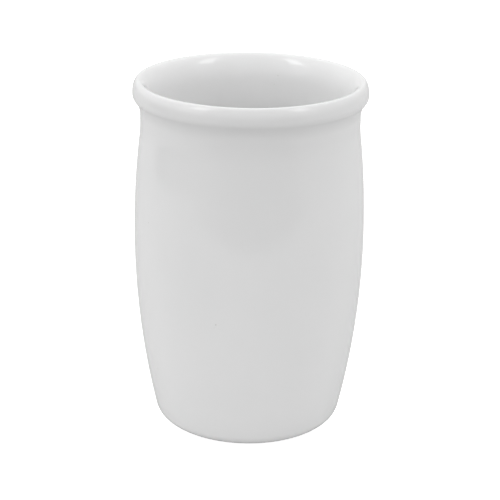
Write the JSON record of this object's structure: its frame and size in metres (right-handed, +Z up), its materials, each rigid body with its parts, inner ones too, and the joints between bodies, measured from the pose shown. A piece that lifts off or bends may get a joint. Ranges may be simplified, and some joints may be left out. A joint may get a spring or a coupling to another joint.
{
  "type": "pen holder cup",
  "caption": "Barrel-shaped white glazed porcelain cup with a thick rolled rim, a short neck and a rounded heel, for standing pens in.",
  "frame": {"origin": "centre of the foot ring's standing face, on the surface that the cup stands on", "axes": "+Z up along the cup's axis, towards its mouth; the cup is turned, so X and Y are free"},
  "size_m": [0.0752, 0.0752, 0.115],
  "materials": {
    "biscuit": "bare fired porcelain, matt and finely grained",
    "glaze": "glossy white glaze"
  },
  "bodies": {
    "root": {"cup_body": "biscuit", "glaze_coat": "glaze", "base_glaze": "glaze"}
  },
  "joints": []
}
